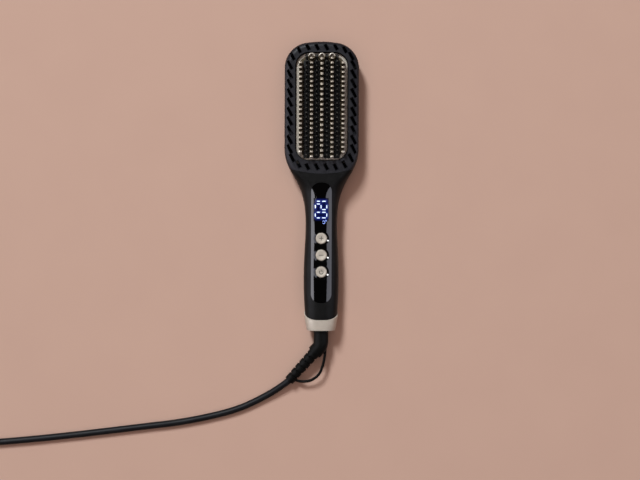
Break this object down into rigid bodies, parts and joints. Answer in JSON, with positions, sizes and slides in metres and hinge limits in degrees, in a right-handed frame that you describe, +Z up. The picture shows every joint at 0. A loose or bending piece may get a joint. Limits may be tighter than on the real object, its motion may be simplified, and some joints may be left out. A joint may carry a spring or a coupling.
{
  "type": "steam hair straightener brush",
  "caption": "Steam straightening brush: slotted head with a heated comb plate and bristles, handle with display and buttons, rear water tank, swivel mains lead with hanging loop.",
  "frame": {"origin": "middle of the brush's footprint, on the surface its back rests on; the lead is left out of that box", "axes": "+X to the user's right with the bristles up, +Y along the handle towards the head's tip, +Z up out of the bristles"},
  "size_m": [0.4668, 0.3885, 0.038],
  "materials": {
    "shell_black": "satin moulded plastic",
    "frame_black": "satin heat-resistant plastic",
    "panel_black": "polished",
    "champagne_cap": "satin champagne lacquer",
    "champagne_button": "satin champagne lacquer",
    "plate_metal": "champagne coated",
    "bristle_black": "heat-resistant nylon",
    "silicone_grey": "moulded",
    "rubber_black": "moulded",
    "heater_ceramic": "sintered ceramic element",
    "insulator_film": "polyimide film",
    "spring_steel": "zinc plated",
    "cast_aluminium": "as cast",
    "mica_sheet": "heat shield sheet",
    "tank_smoke": "translucent smoke",
    "acetal_white": "acetal",
    "board_green": "solder-masked board",
    "display_housing": "display moulding",
    "component_black": "electronic component",
    "screw_steel": "zinc plated",
    "pin_brass": "nickel-plated brass"
  },
  "bodies": {
    "brush": {"rear_housing": "shell_black", "front_housing": "shell_black", "front_frame": "frame_black", "heating_plate": "plate_metal", "bristle_row_1": "bristle_black", "bristle_row_2": "bristle_black", "bristle_row_3": "bristle_black", "bristle_row_4": "bristle_black", "plate_seal": "silicone_grey", "ptc_heater": "heater_ceramic", "heater_insulator": "insulator_film", "heater_clamp": "spring_steel", "steam_chamber": "cast_aluminium", "thermistor": "component_black", "thermal_fuse": "spring_steel", "heat_shield": "mica_sheet", "tank_inlet_seal": "silicone_grey", "pump": "acetal_white", "feed_tube": "silicone_grey", "control_panel": "panel_black", "tact_switches": "component_black", "circuit_board": "board_green", "led_display": "display_housing", "power_board": "board_green", "filter_capacitor": "component_black", "end_cap": "champagne_cap", "swivel_bush": "acetal_white", "slip_disc": "acetal_white", "housing_screws": "screw_steel", "frame_screws": "screw_steel"},
    "tank": {"water_tank": "tank_smoke", "filler_plug": "silicone_grey", "tank_cap": "shell_black", "tank_valve": "acetal_white"},
    "plus_key": {"plus_button": "champagne_button"},
    "minus_key": {"minus_button": "champagne_button"},
    "power_key": {"power_button": "champagne_button"},
    "lead": {"cord_guard": "rubber_black", "hang_loop": "rubber_black", "mains_cord": "rubber_black", "cord_tail": "rubber_black", "cord_coil": "rubber_black", "mains_plug": "rubber_black", "plug_pins": "pin_brass"}
  },
  "joints": [
    {"name": "plus_press", "type": "slide", "parent": "brush", "child": "plus_key", "axis": [0, 0, -1], "range_m": [0, 0.0005], "stiffness_N_per_m": 900},
    {"name": "minus_press", "type": "slide", "parent": "brush", "child": "minus_key", "axis": [0, 0, -1], "range_m": [0, 0.0005], "stiffness_N_per_m": 900},
    {"name": "power_press", "type": "slide", "parent": "brush", "child": "power_key", "axis": [0, 0, -1], "range_m": [0, 0.0005], "stiffness_N_per_m": 900},
    {"name": "tank_slide", "type": "slide", "parent": "brush", "child": "tank", "axis": [0, 1, 0], "range_m": [0, 0.062]},
    {"name": "cord_swivel", "type": "hinge", "parent": "brush", "child": "lead", "pos_m": [0, -0.1365, 0.0143], "axis": [0, 1, 0], "continuous": true}
  ]
}
